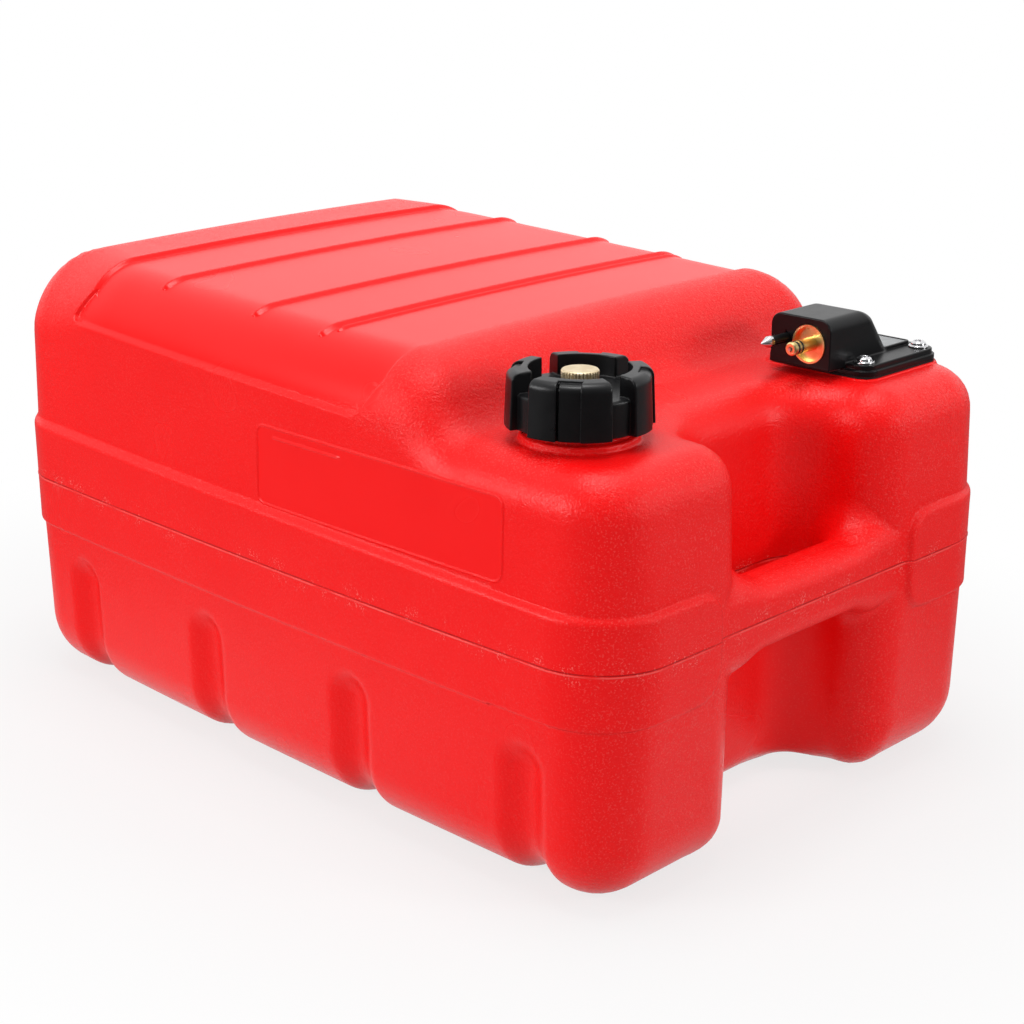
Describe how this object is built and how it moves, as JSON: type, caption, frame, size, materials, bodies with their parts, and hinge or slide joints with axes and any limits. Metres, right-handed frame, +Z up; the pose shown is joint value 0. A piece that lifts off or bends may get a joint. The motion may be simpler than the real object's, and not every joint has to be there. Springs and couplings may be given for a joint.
{
  "type": "outboard fuel tank",
  "caption": "Portable boat fuel tank with hand notch and bar, screw cap with air vent, and a fuel head with hose nipple and float gauge.",
  "frame": {"origin": "middle of the footprint, on the ground", "axes": "+Y along the tank from the handle end to the rear, +X towards the fuel head's side, +Z up"},
  "size_m": [0.3508, 0.521, 0.2819],
  "materials": {
    "tank_red": "moulded polyethylene, leather-like grain",
    "cap_black": "satin moulded",
    "head_black": "satin moulded",
    "rubber": "matt",
    "brass": "turned, bright",
    "pale_brass": "nickel-washed brass, fine matt top, knurled edge",
    "chrome": "bright plated",
    "steel": "stainless",
    "lens": "clear moulded",
    "dial_white": "plain",
    "dial_red": "plain",
    "natural_plastic": "natural acetal",
    "float_foam": "closed-cell foam"
  },
  "bodies": {
    "tank": {"tank_shell": "tank_red", "threaded_inserts": "brass", "head_housing": "head_black", "head_gasket": "rubber", "housing_screws": "chrome", "nipple_body": "brass", "nipple_rings": "rubber", "valve_spring": "steel", "valve_seat": "brass", "guide_pin": "chrome", "pin_sleeve": "head_black", "pickup_tube": "natural_plastic", "pickup_strainer": "natural_plastic", "gauge_lens": "lens", "gauge_dial": "dial_white", "gauge_frame": "natural_plastic"},
    "cap_seal": {"cap_gasket": "rubber"},
    "cap": {"cap_shell": "cap_black", "vent_bush": "brass"},
    "vent_washer": {"vent_seal": "rubber"},
    "vent": {"vent_screw": "pale_brass", "vent_clip": "steel"},
    "float": {"gauge_float": "float_foam", "float_plate": "brass"},
    "gauge_rotor": {"gauge_strip": "steel", "gauge_drum": "dial_red"},
    "valve": {"valve_poppet": "steel"}
  },
  "joints": [
    {"name": "cap_lift", "type": "slide", "parent": "tank", "child": "cap_seal", "axis": [0, 0, 1], "range_m": [0, 0.008]},
    {"name": "cap_turn", "type": "hinge", "parent": "cap_seal", "child": "cap", "pos_m": [-0.113, -0.187, 0.255], "axis": [0, 0, 1], "range_deg": [0, 720]},
    {"name": "vent_lift", "type": "slide", "parent": "cap", "child": "vent_washer", "axis": [0, 0, 1], "range_m": [0, 0.002]},
    {"name": "vent_turn", "type": "hinge", "parent": "vent_washer", "child": "vent", "pos_m": [-0.113, -0.187, 0.26], "axis": [0, 0, 1], "range_deg": [0, 720]},
    {"name": "float_slide", "type": "slide", "parent": "tank", "child": "float", "axis": [0, 0, 1], "range_m": [0, 0.1734]},
    {"name": "gauge_turn", "type": "hinge", "parent": "tank", "child": "gauge_rotor", "pos_m": [0.131, -0.188, 0.1], "axis": [0, 0, 1], "range_deg": [-151, 0]},
    {"name": "valve_slide", "type": "slide", "parent": "tank", "child": "valve", "axis": [1, 0, 0], "range_m": [0, 0.003], "stiffness_N_per_m": 300, "deforming": ["valve_spring"]}
  ],
  "couplings": [
    {"joint": "cap_turn", "follows": "cap_lift", "rad_per_m": 1570.8},
    {"joint": "vent_turn", "follows": "vent_lift", "rad_per_m": 6283.2},
    {"joint": "gauge_turn", "follows": "float_slide", "rad_per_m": -15.098}
  ]
}
